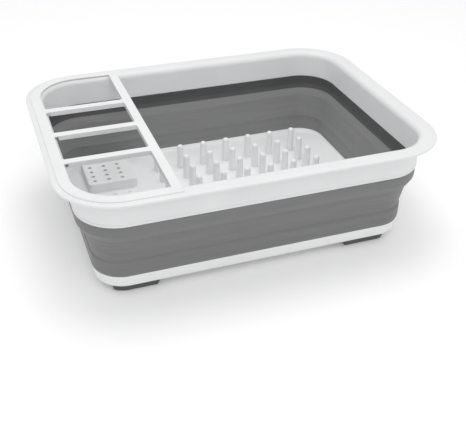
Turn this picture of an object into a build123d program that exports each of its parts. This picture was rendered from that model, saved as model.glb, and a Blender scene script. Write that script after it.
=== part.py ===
from build123d import *
import os

# Collapsible dish drying rack, opened for use.
#
# A rigid white rim with a wide flange stands on a fold-flat rubber bellows, which
# joins it to a white base tray with plate pegs and drain blocks. A cutlery divider
# snaps onto the left end of the flange, and four rubber feet plug into the tray.
#
# Millimetres, +Z up. +X runs along the long front side, +Y goes to the back, and
# the origin is the middle of the footprint, on the surface that the feet stand on.

# ---- driving dimensions -------------------------------------------------------
length = 370.0            # outside of the flange, along X
width = 283.0             # outside of the flange, along Y
corner_radius = 56.0      # outside of the flange, seen from above

# heights above the table
foot_height = 8.5         # underside of the tray
floor_top = 17.5          # where the dishes stand
tray_top = 21.4
collar_top = 30.0         # the bellows stays with the tray up to here
fold_low = 38.9           # lower crease of the bellows
fold_high = 63.3          # upper crease of the bellows
skirt_bottom = 82.6       # lower edge of the rim, outside
wall_bottom = 86.6        # lower edge of the rim, inside
flange_top = 114.6
plate_top = 115.8         # top of the cutlery divider, and of the whole rack

wall = 2.4                # moulded plastic walls
rubber = 1.8              # bellows wall
gap = 0.3                 # between parts that move apart

# insets, measured in from the flange's outer edge
flange_inner_inset = 17.3
skirt_inset = 15.4
rebate_inset = 17.2       # the bellows is moulded into the step behind the skirt
wall_inset = 19.1         # inner face of the rim at its lower edge
fold_high_inset = 22.0
fold_low_inset = 27.0
tray_top_inset = 26.6
tray_bottom_inset = 28.4

# plate pegs
peg_columns, peg_rows = 7, 7
peg_pitch_x, peg_pitch_y = 27.0, 23.6
peg_middle_x = 27.5
peg_radius, peg_height, peg_taper = 4.0, 28.0, 1.4
peg_tip_radius = 2.8

# cutlery end: bars of the divider and raised drain blocks of the tray
long_bar_x, long_bar_width = -86.0, 9.0
cross_bar_width, cross_bar_pitch = 8.0, 54.5
bar_depth = 4.8
divider_outer_inset, divider_inner_inset = 5.0, 15.2
block_size_x, block_size_y, block_height = 53.0, 54.0, 11.0
block_middle_x = -109.5
block_middles_y = (-47.0, 71.0)

# feet, whose outer sides follow the tray's edge
foot_length, foot_width, foot_taper = 45.0, 15.0, 16.0
foot_inset = 31.0
foot_x_left, foot_x_right = -122.5, 113.5
plug_radius, plug_height, plug_spacing = 3.0, 5.0, 22.0

os.makedirs("parts", exist_ok=True)


# ---- helpers ------------------------------------------------------------------
side_plane = Plane(origin=(0, -width / 2, 0), x_dir=(0, 1, 0), z_dir=(1, 0, 0))


def outline_path():
    """The flange's outer edge as a closed path: one half and its mirror image."""
    x, y = length / 2, width / 2
    with BuildLine() as path:
        FilletPolyline((0, -y), (x, -y), (x, y), (0, y), radius=corner_radius)
        mirror(about=Plane.YZ)
    return path.wire()


def ring(corners):
    """Sweeps a closed section once round the rack.

    Each corner of the section is (inset, height) or (inset, height, rounding).
    """
    with BuildSketch(side_plane) as section:
        with BuildLine():
            Polyline(*[corner[:2] for corner in corners], close=True)
        make_face()
        for inset, height, *rounding in corners:
            if rounding:
                nearest = section.vertices().sort_by_distance((inset, height, 0))[0]
                fillet(nearest, radius=rounding[0])
    sweep(sections=section.sketch, path=outline_path())


def band(corners):
    """Sweeps a rubber wall whose outside runs through the given corners."""
    inside = [(inset + rubber, height, *rounding) for inset, height, *rounding in reversed(corners)]
    ring(corners + inside)


def rounded_area(inset, mode=Mode.ADD):
    """A rounded rectangle concentric with the flange."""
    return RectangleRounded(length - 2 * inset, width - 2 * inset, corner_radius - inset, mode=mode)


def foot_area(x, y_side, inset, margin):
    """The outline of a foot or its pad, cut by a line along the tray's edge."""
    outer_side = y_side * (width / 2 - foot_inset)
    inner_side = outer_side - y_side * (foot_width + margin)
    with BuildSketch() as area:
        with Locations((x, inner_side)):
            outward = Align.MIN if y_side > 0 else Align.MAX
            RectangleRounded(foot_length + 2 * margin, 2 * foot_width, 3.0, align=(Align.CENTER, outward))
        rounded_area(inset, mode=Mode.INTERSECT)
    return area.sketch


def save(part, name):
    part.label = name
    export_step(part, f"parts/{name}.step")


# ---- rim frame ----------------------------------------------------------------
lip_depth, lip_thickness = 2.9, 1.9
dome = 0.6                # the flange falls away slightly towards its edge
mouth_radius = 6.0        # where the flange turns down into the rim's inner wall
bead_height, bead_depth = 2.2, 0.4

# slots for the divider's snap legs
snap_inset = 10.0
snap_length, snap_thickness = 9.0, 2.2
snap_x, snap_pitch = -106.0, 60.0
front_back_snaps = [(snap_x, side * (width / 2 - snap_inset)) for side in (-1, 1)]
side_snaps = [(-length / 2 + snap_inset, snap_pitch * step) for step in (-1, 0, 1)]

with BuildPart() as rim_frame:
    ring([
        (0, flange_top - dome, 1.0),
        (divider_outer_inset - 0.4, flange_top),
        (flange_inner_inset, flange_top, mouth_radius),
        (wall_inset, wall_bottom, 0.7),
        (rebate_inset, wall_bottom),
        (rebate_inset, skirt_bottom),
        (skirt_inset - bead_depth, skirt_bottom, 0.6),
        (skirt_inset - bead_depth, skirt_bottom + bead_height, 0.6),
        (skirt_inset, skirt_bottom + bead_height + 0.6, 0.6),
        (skirt_inset - 0.6, flange_top - wall, 2.5),
        (lip_thickness + 1.5, flange_top - wall, 1.0),
        (lip_thickness, flange_top - lip_depth, 0.5),
        (0, flange_top - lip_depth, 0.6),
    ])
    with BuildSketch(Plane.XY.offset(flange_top)):
        with Locations(*front_back_snaps):
            Rectangle(snap_length + 2 * gap, snap_thickness + 2 * gap)
        with Locations(*side_snaps):
            Rectangle(snap_thickness + 2 * gap, snap_length + 2 * gap)
    extrude(amount=-2 * wall, mode=Mode.SUBTRACT)
save(rim_frame.part, "rim_frame")

# ---- cutlery divider ----------------------------------------------------------
plate_thickness = plate_top - flange_top
junction_radius, edge_radius = 2.2, 0.5
snap_hook = 0.9
snap_reach = 1.2

divider_right = long_bar_x + long_bar_width / 2
long_bar_left = long_bar_x - long_bar_width / 2


def draw_bars(inset):
    """The bars seen from above, reaching to the given distance from the edge."""
    left = -length / 2 + inset
    with Locations((long_bar_x, 0)):
        Rectangle(long_bar_width, width - 2 * inset)
    with Locations(((left + long_bar_left) / 2, 0)):
        with GridLocations(0, cross_bar_pitch, 1, 3):
            Rectangle(long_bar_left - left, cross_bar_width)


with BuildPart() as cutlery_divider:
    # surround that lies on the flange, with the tops of the bars
    with BuildSketch(Plane.XY.offset(flange_top)):
        rounded_area(divider_outer_inset)
        rounded_area(divider_inner_inset, mode=Mode.SUBTRACT)
        with Locations((divider_right, 0)):
            Rectangle(length, width, align=(Align.MIN, Align.CENTER), mode=Mode.SUBTRACT)
        draw_bars(divider_inner_inset)
    extrude(amount=plate_thickness)
    # the bars' deeper part stops clear of the rim's wall
    with BuildSketch(Plane.XY.offset(plate_top - bar_depth)):
        draw_bars(wall_inset + gap)
    extrude(amount=bar_depth)
    # rounded corners where the bars meet each other and the surround
    upright = ShapeList(edges().filter_by(Axis.Z))
    at_bars = upright.filter_by_position(Axis.X, long_bar_left - 0.1, long_bar_left + 0.1)
    at_bars = at_bars.filter_by(lambda edge: edge.length > bar_depth - 0.1)
    inner_edge = length / 2 - divider_inner_inset
    at_surround = upright.filter_by_position(Axis.X, -inner_edge - 0.1, -inner_edge + 0.1)
    at_surround = at_surround.filter_by_position(Axis.Y, -cross_bar_pitch * 1.2, cross_bar_pitch * 1.2)
    fillet(at_bars + at_surround, radius=junction_radius)
    fillet(faces().sort_by(Axis.Z)[-1].edges(), radius=edge_radius)
    # snap legs through the flange, each with a hook under it
    with BuildSketch(Plane.XY.offset(flange_top)):
        with Locations(*front_back_snaps):
            Rectangle(snap_length, snap_thickness)
        with Locations(*side_snaps):
            Rectangle(snap_thickness, snap_length)
    extrude(amount=-wall - snap_reach)
    with BuildSketch(Plane.XY.offset(flange_top - wall)):
        with Locations(*front_back_snaps):
            Rectangle(snap_length, snap_thickness + 2 * snap_hook)
        with Locations(*side_snaps):
            Rectangle(snap_thickness + 2 * snap_hook, snap_length)
    extrude(amount=-snap_reach)
save(cutlery_divider.part, "cutlery_divider")

# ---- bellows ------------------------------------------------------------------
shoulder_inset = skirt_inset + 0.3
shoulder_drop = 10.5      # the upper band is upright this far below the skirt
notch = 1.2               # the lower band stands proud of the lower crease

with BuildPart() as bellows_upper_collar:
    ring([
        (rebate_inset, wall_bottom),
        (rebate_inset, skirt_bottom),
        (shoulder_inset, skirt_bottom),
        (shoulder_inset, skirt_bottom - shoulder_drop, 6.0),
        (fold_high_inset - 2.2, fold_high + 1.6, 2.0),
        (fold_high_inset, fold_high),
        (fold_high_inset + rubber, fold_high),
        (fold_high_inset + rubber - 1.6, fold_high + rubber + 1.8, 2.0),
        (shoulder_inset + rubber, skirt_bottom - shoulder_drop + rubber, 6.0),
        (rebate_inset + rubber, wall_bottom),
    ])
save(bellows_upper_collar.part, "bellows_upper_collar")

with BuildPart() as bellows_fold:
    band([
        (fold_high_inset, fold_high - gap),
        (fold_low_inset, fold_low, 0.8),
        (fold_low_inset - notch, fold_low - 2.0, 1.0),
        (fold_low_inset - notch, collar_top),
    ])
save(bellows_fold.part, "bellows_fold")

with BuildPart() as bellows_lower_collar:
    band([
        (fold_low_inset - notch, collar_top),
        (fold_low_inset - notch, tray_top + 3.0, 2.0),
        (tray_top_inset, tray_top),
    ])
save(bellows_lower_collar.part, "bellows_lower_collar")

# ---- base tray ----------------------------------------------------------------
floor_thickness = 2.4
edge_round = 2.4
wall_lean = 2.2           # the tray's wall widens towards the floor inside
rib_thickness, rib_clearance = 1.6, 1.0
rib_pitch_x, rib_pitch_y = 54.0, 49.0
pad_margin = 2.0
block_hole_columns, block_hole_rows, block_hole_radius = 3, 5, 2.0
block_hole_pitch_x, block_hole_pitch_y, block_hole_shift = 15.0, 10.0, -3.5
bump_radius, bump_height = 1.9, 1.5
bump_pitch_x, bump_pitch_y, bump_middle_y = 15.5, 23.0, 13.0

floor_bottom = floor_top - floor_thickness
foot_spots = [(x, side) for x in (foot_x_left, foot_x_right) for side in (-1, 1)]
plug_y = width / 2 - foot_inset - foot_width / 2
plug_spots = [(x, side * plug_y) for x, side in foot_spots]
block_spots = [(block_middle_x, y) for y in block_middles_y]

with BuildPart() as base_tray:
    # edge wall, rounded at the bottom
    ring([
        (tray_top_inset, tray_top),
        (tray_bottom_inset, foot_height, edge_round),
        (tray_bottom_inset + wall + edge_round, foot_height, 1.0),
        (tray_bottom_inset + wall + edge_round, foot_height + wall),
        (tray_bottom_inset + wall, foot_height + wall, 1.0),
        (tray_bottom_inset + wall + wall_lean, floor_top, 2.0),
        (tray_top_inset + wall, tray_top, 0.5),
    ])
    # floor
    with BuildSketch(Plane.XY.offset(floor_bottom)):
        rounded_area(tray_bottom_inset + wall / 2)
    extrude(amount=floor_thickness)
    # stiffening ribs under the floor
    with BuildSketch(Plane.XY.offset(floor_bottom)):
        with GridLocations(rib_pitch_x, 0, 5, 1):
            Rectangle(rib_thickness, width - 2 * tray_bottom_inset - 2 * wall)
        with GridLocations(0, rib_pitch_y, 1, 4):
            Rectangle(length - 2 * tray_bottom_inset - 2 * wall, rib_thickness)
    extrude(amount=foot_height + rib_clearance - floor_bottom)
    # pads that the feet plug into
    with BuildSketch(Plane.XY.offset(foot_height)):
        for x, side in foot_spots:
            add(foot_area(x, side, tray_bottom_inset + edge_round, pad_margin))
    extrude(amount=floor_bottom + wall / 2 - foot_height)
    with BuildSketch(Plane.XY.offset(foot_height)):
        with Locations(*plug_spots):
            with GridLocations(plug_spacing, 0, 2, 1):
                Circle(plug_radius)
    extrude(amount=plug_height, mode=Mode.SUBTRACT)
    # raised drain blocks for the cutlery
    with BuildSketch(Plane.XY.offset(floor_top)):
        with Locations(*block_spots):
            RectangleRounded(block_size_x, block_size_y, 4.0)
    extrude(amount=block_height, taper=1.0)
    fillet(faces().filter_by(Axis.Z).sort_by(Axis.Z)[-2:].edges(), radius=1.2)
    # small bumps that hold the cutlery off the low floor
    with BuildSketch(Plane.XY.offset(floor_top)):
        with Locations((block_middle_x, bump_middle_y)):
            with GridLocations(bump_pitch_x, bump_pitch_y, 3, 3):
                Circle(bump_radius)
    extrude(amount=bump_height, taper=25.0)
    # drain holes through the blocks
    with BuildSketch(Plane.XY.offset(floor_top + block_height)):
        with Locations(*[(x + block_hole_shift, y) for x, y in block_spots]):
            with GridLocations(block_hole_pitch_x, block_hole_pitch_y, block_hole_columns, block_hole_rows):
                Circle(block_hole_radius)
    extrude(amount=-block_height - floor_thickness, mode=Mode.SUBTRACT)
save(base_tray.part, "base_tray")

# ---- plate pegs ---------------------------------------------------------------
with BuildPart() as plate_pegs:
    with BuildSketch(Plane.XY.offset(floor_top)):
        with Locations((peg_middle_x, 0)):
            with GridLocations(peg_pitch_x, peg_pitch_y, peg_columns, peg_rows):
                Circle(peg_radius)
    extrude(amount=peg_height, taper=peg_taper)
    fillet(faces().group_by(Axis.Z)[-1].edges(), radius=peg_tip_radius)
save(plate_pegs.part, "plate_pegs")

# ---- feet ---------------------------------------------------------------------
foot_names = ["foot_front_left", "foot_back_left", "foot_front_right", "foot_back_right"]
for foot_name, (x, side) in zip(foot_names, foot_spots):
    with BuildPart() as foot:
        # seen from below, so the sketch's own Y runs the other way
        with BuildSketch(Plane(origin=(0, 0, foot_height), x_dir=(1, 0, 0), z_dir=(0, 0, -1))):
            add(foot_area(x, -side, foot_inset, 0))
        extrude(amount=foot_height, taper=foot_taper)
        fillet(faces().sort_by(Axis.Z)[0].edges(), radius=1.8)
        with BuildSketch(Plane.XY.offset(foot_height)):
            with Locations((x, side * plug_y)):
                with GridLocations(plug_spacing, 0, 2, 1):
                    Circle(plug_radius)
        extrude(amount=plug_height)
    save(foot.part, foot_name)
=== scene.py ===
import math

import bpy
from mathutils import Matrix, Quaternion, Vector


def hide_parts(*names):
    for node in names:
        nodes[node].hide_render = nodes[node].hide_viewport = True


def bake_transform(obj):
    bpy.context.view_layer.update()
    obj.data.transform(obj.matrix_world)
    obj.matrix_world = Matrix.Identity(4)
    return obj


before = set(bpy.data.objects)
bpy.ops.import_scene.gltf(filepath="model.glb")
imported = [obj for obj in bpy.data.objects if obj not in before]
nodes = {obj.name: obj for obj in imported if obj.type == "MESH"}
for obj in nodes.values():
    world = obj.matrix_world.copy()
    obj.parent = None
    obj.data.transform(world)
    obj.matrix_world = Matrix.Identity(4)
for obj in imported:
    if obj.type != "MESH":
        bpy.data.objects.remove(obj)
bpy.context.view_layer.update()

# ---- dimensions shared with the CAD, in metres --------------------------------
LENGTH, WIDTH, CORNER_RADIUS = 0.370, 0.283, 0.056
TRAY_TOP = 0.0214
FOLD_LOW, FOLD_HIGH = 0.0389, 0.0633
SKIRT_BOTTOM, WALL_BOTTOM = 0.0826, 0.0866
RUBBER = 0.0018

# insets, measured in from the flange's outer edge
SKIRT_INSET, REBATE_INSET = 0.0154, 0.0172
FOLD_LOW_INSET, FOLD_HIGH_INSET = 0.0270, 0.0220
TRAY_TOP_INSET = 0.0266
SHOULDER_INSET = SKIRT_INSET + 0.0003
LOWER_BAND_INSET = FOLD_LOW_INSET - 0.0012


# ---- mesh helpers -------------------------------------------------------------
def stations(corner_steps=28, straight_steps=12):
    """Points round the flange's outer edge, each with its inward direction."""
    half_x, half_y = LENGTH / 2 - CORNER_RADIUS, WIDTH / 2 - CORNER_RADIUS
    corners = [(half_x, half_y, 0), (-half_x, half_y, 90), (-half_x, -half_y, 180), (half_x, -half_y, 270)]
    arcs = []
    for x, y, start in corners:
        arc = []
        for step in range(corner_steps + 1):
            angle = math.radians(start + 90 * step / corner_steps)
            outward = Vector((math.cos(angle), math.sin(angle), 0))
            arc.append((Vector((x, y, 0)) + outward * CORNER_RADIUS, -outward))
        arcs.append(arc)
    points = []
    for index, arc in enumerate(arcs):
        points += arc
        end, inward = arc[-1]
        start_of_next = arcs[(index + 1) % len(arcs)][0][0]
        for step in range(1, straight_steps):
            points.append((end.lerp(start_of_next, step / straight_steps), inward))
    return points


def rounded_profile(corners, steps):
    """A closed profile of (inset, height, rounding) corners, with each rounding made into an arc."""
    widest_share = 0.48       # of a side, that the arc at one of its ends may take
    profile = []
    for index, (inset, height, radius) in enumerate(corners):
        here = Vector((inset, height))
        if radius == 0:
            profile.append(here)
            continue
        before = Vector(corners[index - 1][:2]) - here
        after = Vector(corners[(index + 1) % len(corners)][:2]) - here
        half_angle = before.angle(after) / 2
        reach = min(radius / math.tan(half_angle), widest_share * before.length, widest_share * after.length)
        radius = reach * math.tan(half_angle)
        bisector = (before.normalized() + after.normalized()).normalized()
        centre = here + bisector * (radius / math.sin(half_angle))
        first = here + before.normalized() * reach - centre
        last = here + after.normalized() * reach - centre
        turn = first.angle_signed(last)
        for step in range(steps + 1):
            angle = -turn * step / steps
            cos, sin = math.cos(angle), math.sin(angle)
            profile.append(centre + Vector((first.x * cos - first.y * sin, first.x * sin + first.y * cos)))
    return profile


def swept(name, profile):
    """A closed ring round the rack, with the given profile of (inset, height) points."""
    ring = stations()
    vertices = []
    for point, inward in ring:
        for inset, height in profile:
            vertices.append(point + inward * inset + Vector((0, 0, height)))
    count = len(profile)
    faces = []
    for i in range(len(ring)):
        here, following = i * count, (i + 1) % len(ring) * count
        for j in range(count):
            k = (j + 1) % count
            faces.append((here + j, here + k, following + k, following + j))
    mesh = bpy.data.meshes.new(name)
    mesh.from_pydata(vertices, [], faces)
    mesh.validate()
    mesh.shade_smooth()
    mesh.set_sharp_from_angle(angle=math.radians(40))
    piece = bpy.data.objects.new(name, mesh)
    bpy.context.scene.collection.objects.link(piece)
    return piece


# ---- materials ----------------------------------------------------------------
def moulded(name, light, dark, roughness, grain, grain_depth, subsurface=0.0, sheen=0.0, wave_depth=0.0,
            wave_stretch=(1, 1, 1)):
    """A moulded surface: soft colour variation, uneven gloss, a fine grain and slight waviness."""
    material = bpy.data.materials.new(name)
    material.use_nodes = True
    tree = material.node_tree
    shader = tree.nodes["Principled BSDF"]
    shader.inputs["Subsurface Weight"].default_value = subsurface
    shader.inputs["Subsurface Radius"].default_value = (0.004, 0.004, 0.0038)
    shader.inputs["Subsurface Scale"].default_value = 1.0
    shader.inputs["Sheen Weight"].default_value = sheen
    shader.inputs["IOR"].default_value = 1.49
    shader.inputs["Specular IOR Level"].default_value = 0.35
    place = tree.nodes.new("ShaderNodeTexCoord")

    def noise(scale, detail, stretch=(1, 1, 1)):
        texture = tree.nodes.new("ShaderNodeTexNoise")
        texture.inputs["Scale"].default_value = scale
        texture.inputs["Detail"].default_value = detail
        mapping = tree.nodes.new("ShaderNodeMapping")
        mapping.inputs["Scale"].default_value = stretch
        tree.links.new(place.outputs["Object"], mapping.inputs["Vector"])
        tree.links.new(mapping.outputs["Vector"], texture.inputs["Vector"])
        return texture.outputs["Fac"]

    def bump(height, depth):
        node = tree.nodes.new("ShaderNodeBump")
        node.inputs["Strength"].default_value = 1.0
        node.inputs["Distance"].default_value = depth
        tree.links.new(height, node.inputs["Height"])
        return node

    patches = noise(scale=22, detail=5, stretch=wave_stretch)
    ramp = tree.nodes.new("ShaderNodeValToRGB")
    darkest, lightest = ramp.color_ramp.elements
    darkest.position, lightest.position = 0.32, 0.68
    darkest.color, lightest.color = (*dark, 1), (*light, 1)
    tree.links.new(patches, ramp.inputs["Fac"])
    tree.links.new(ramp.outputs["Color"], shader.inputs["Base Color"])

    gloss = tree.nodes.new("ShaderNodeMapRange")
    gloss.inputs["To Min"].default_value = roughness - 0.05
    gloss.inputs["To Max"].default_value = roughness + 0.06
    tree.links.new(noise(scale=140, detail=6), gloss.inputs["Value"])
    tree.links.new(gloss.outputs["Result"], shader.inputs["Roughness"])

    fine = bump(noise(scale=grain, detail=3), grain_depth)
    wavy = bump(noise(scale=35, detail=3, stretch=wave_stretch), wave_depth)
    tree.links.new(wavy.outputs["Normal"], fine.inputs["Normal"])
    tree.links.new(fine.outputs["Normal"], shader.inputs["Normal"])
    return material


def white_plastic(name, light, dark, roughness, wave_depth):
    """Satin polypropylene, slightly translucent."""
    return moulded(name, light, dark, roughness, grain=2600, grain_depth=0.00002, subsurface=0.12,
                   wave_depth=wave_depth)


def folded_rubber(name, light, dark):
    """Matte rubber with faint streaks that run round the rack, along its folds."""
    return moulded(name, light, dark, roughness=0.62, grain=1800, grain_depth=0.00004, sheen=0.15,
                   wave_depth=0.0012, wave_stretch=(0.4, 0.4, 4.5))


rim_white = white_plastic("white_plastic", (0.81, 0.815, 0.82), (0.78, 0.783, 0.79), 0.36, 0.0003)
divider_white = white_plastic("divider_plastic", (0.85, 0.855, 0.86), (0.82, 0.825, 0.83), 0.33, 0.0002)
tray_white = white_plastic("tray_plastic", (0.90, 0.905, 0.91), (0.87, 0.875, 0.88), 0.38, 0.0003)
outer_rubber = folded_rubber("bellows_rubber", (0.205, 0.206, 0.208), (0.180, 0.181, 0.183))
# painted light: the inside of the bellows is the same rubber, painted paler to stand in for light inside the
# tub
inner_painted_light = folded_rubber("bellows_inner_painted_light", (0.255, 0.256, 0.258), (0.228, 0.229, 0.231))
# painted shade: the hem under the rim's wall is the same rubber, painted darker for the shade that falls
# there
hem_painted_shade = moulded("hem_painted_shade", (0.096, 0.097, 0.099), (0.084, 0.085, 0.087), 0.60,
                     grain=1800, grain_depth=0.00003, sheen=0.10)
foot_rubber = moulded("foot_rubber", (0.095, 0.096, 0.098), (0.075, 0.076, 0.078), 0.66,
                      grain=1800, grain_depth=0.00004, sheen=0.10)


def dress(piece, *materials):
    """Gives a piece these materials, in place of those it has."""
    piece.data.materials.clear()
    for material in materials:
        piece.data.materials.append(material)


dress(nodes["rim_frame"], rim_white)
dress(nodes["cutlery_divider"], divider_white)
dress(nodes["base_tray"], tray_white)
dress(nodes["plate_pegs"], tray_white)
for name, piece in nodes.items():
    if name.startswith("foot_"):
        dress(piece, foot_rubber)

# ---- bellows ------------------------------------------------------------------
SHOULDER_DEPTH = 0.0105       # the upper band is upright outside for this far
CREASE_SETBACK = 0.0022       # from the upper crease out to where the band turns in to it
CREASE_RISE = 0.0016          # and up to there
CREASE_DROP = 0.0020          # from the lower crease down to the lower band
COLLAR_RISE = 0.0030          # from the tray's edge up to the lower band
HEM_BEND = 0.0760             # the hem is nearly upright inside down to here
HEM_LOW, HEM_LOW_INSET = 0.0715, 0.0194

# corners of (inset, height, rounding), down the outside and up the inside
outside = [
    (REBATE_INSET, WALL_BOTTOM, 0),
    (REBATE_INSET, SKIRT_BOTTOM, 0),
    (SHOULDER_INSET, SKIRT_BOTTOM, 0.0003),
    (SHOULDER_INSET, SKIRT_BOTTOM - SHOULDER_DEPTH, 0.0060),
    (FOLD_HIGH_INSET - CREASE_SETBACK, FOLD_HIGH + CREASE_RISE, 0.0020),
    (FOLD_HIGH_INSET, FOLD_HIGH, 0.0005),
    (FOLD_LOW_INSET, FOLD_LOW, 0.0008),
    (LOWER_BAND_INSET, FOLD_LOW - CREASE_DROP, 0.0010),
    (LOWER_BAND_INSET, TRAY_TOP + COLLAR_RISE, 0.0020),
    (TRAY_TOP_INSET, TRAY_TOP, 0),
]
inside = [
    (TRAY_TOP_INSET + RUBBER, TRAY_TOP, 0),
    (LOWER_BAND_INSET + RUBBER, TRAY_TOP + COLLAR_RISE, 0.0020),
    (LOWER_BAND_INSET + RUBBER, FOLD_LOW - 0.0030, 0.0015),
    (FOLD_LOW_INSET + RUBBER, FOLD_LOW, 0.0015),
    (FOLD_HIGH_INSET + RUBBER, FOLD_HIGH + 0.0006, 0.0015),
    (FOLD_HIGH_INSET + RUBBER - 0.0016, FOLD_HIGH + 0.0036, 0.0020),
    (HEM_LOW_INSET, HEM_LOW, 0),
    (SHOULDER_INSET + 0.0010, HEM_BEND, 0.0012),
    (REBATE_INSET + 0.0003, SKIRT_BOTTOM + 0.0012, 0.0010),
    (REBATE_INSET + RUBBER, SKIRT_BOTTOM + 0.0020, 0.0004),
    (REBATE_INSET + RUBBER, WALL_BOTTOM, 0),
]
bellows = swept("bellows", rounded_profile(outside + inside, steps=8))

# the inside's rubber is painted paler, a painted light, and its hem under the rim's wall is painted darker,
# a painted shade, and is smoother
OUTER, INNER, HEM = range(3)
dress(bellows, outer_rubber, inner_painted_light, hem_painted_shade)
for polygon in bellows.data.polygons:
    x, y, z = polygon.center
    faces_middle = polygon.normal.dot(Vector((-x, -y, 0))) > 0
    if not faces_middle:
        polygon.material_index = OUTER
    else:
        polygon.material_index = HEM if z > HEM_LOW else INNER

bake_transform(bellows)
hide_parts("bellows_fold", "bellows_upper_collar", "bellows_lower_collar")

# ---- floor --------------------------------------------------------------------
FLOOR_REACH = 60
floor_corners = [(x * FLOOR_REACH, y * FLOOR_REACH, 0) for x, y in [(-1, -1), (1, -1), (1, 1), (-1, 1)]]
floor_mesh = bpy.data.meshes.new("floor")
floor_mesh.from_pydata(floor_corners, [], [(0, 1, 2, 3)])
floor = bpy.data.objects.new("floor", floor_mesh)
bpy.context.scene.collection.objects.link(floor)
floor_paint = bpy.data.materials.new("floor_paint")
floor_paint.use_nodes = True
floor_shader = floor_paint.node_tree.nodes["Principled BSDF"]
floor_shader.inputs["Base Color"].default_value = (0.93, 0.93, 0.93, 1)
floor_shader.inputs["Roughness"].default_value = 0.9
floor_shader.inputs["Emission Color"].default_value = (1, 1, 1, 1)
floor_shader.inputs["Emission Strength"].default_value = 0.10
floor_mesh.materials.append(floor_paint)

# ---- light --------------------------------------------------------------------
world = bpy.data.worlds.new("studio")
world.use_nodes = True
sky = world.node_tree.nodes["Background"]
sky.inputs["Color"].default_value = (1, 1, 1, 1)
sky.inputs["Strength"].default_value = 0.64
bpy.context.scene.world = world
AIM = Vector((0, 0, 0.05))      # the middle of the rack


def softbox(name, position, size, power):
    """A square lamp that points at the middle of the rack."""
    data = bpy.data.lights.new(name, "AREA")
    data.shape = "SQUARE"
    data.size = size
    data.energy = power
    lamp = bpy.data.objects.new(name, data)
    bpy.context.scene.collection.objects.link(lamp)
    lamp.location = position
    lamp.rotation_mode = "QUATERNION"
    lamp.rotation_quaternion = (AIM - Vector(position)).to_track_quat("-Z", "Y")


softbox("key", (-0.2, -1.3, 1.5), size=1.2, power=6.5)
softbox("top", (0.0, 0.2, 1.9), size=1.2, power=12)

# ---- camera -------------------------------------------------------------------
AZIMUTH, ELEVATION, ROLL = math.radians(-20.16), math.radians(33.75), math.radians(0.85)
backward = Vector((
    math.sin(AZIMUTH) * math.cos(ELEVATION),
    -math.cos(AZIMUTH) * math.cos(ELEVATION),
    math.sin(ELEVATION),
))
lens = bpy.data.cameras.new("camera")
lens.lens, lens.sensor_width = 59.06, 36
camera = bpy.data.objects.new("camera", lens)
bpy.context.scene.collection.objects.link(camera)
camera.rotation_mode = "QUATERNION"
camera.rotation_quaternion = backward.to_track_quat("Z", "Y") @ Quaternion((0, 0, 1), ROLL)
camera.location = (-0.2319, -0.6642, 0.4496)
bpy.context.scene.camera = camera
bpy.context.scene.view_settings.view_transform = "Standard"
bpy.context.scene.view_settings.look = "None"
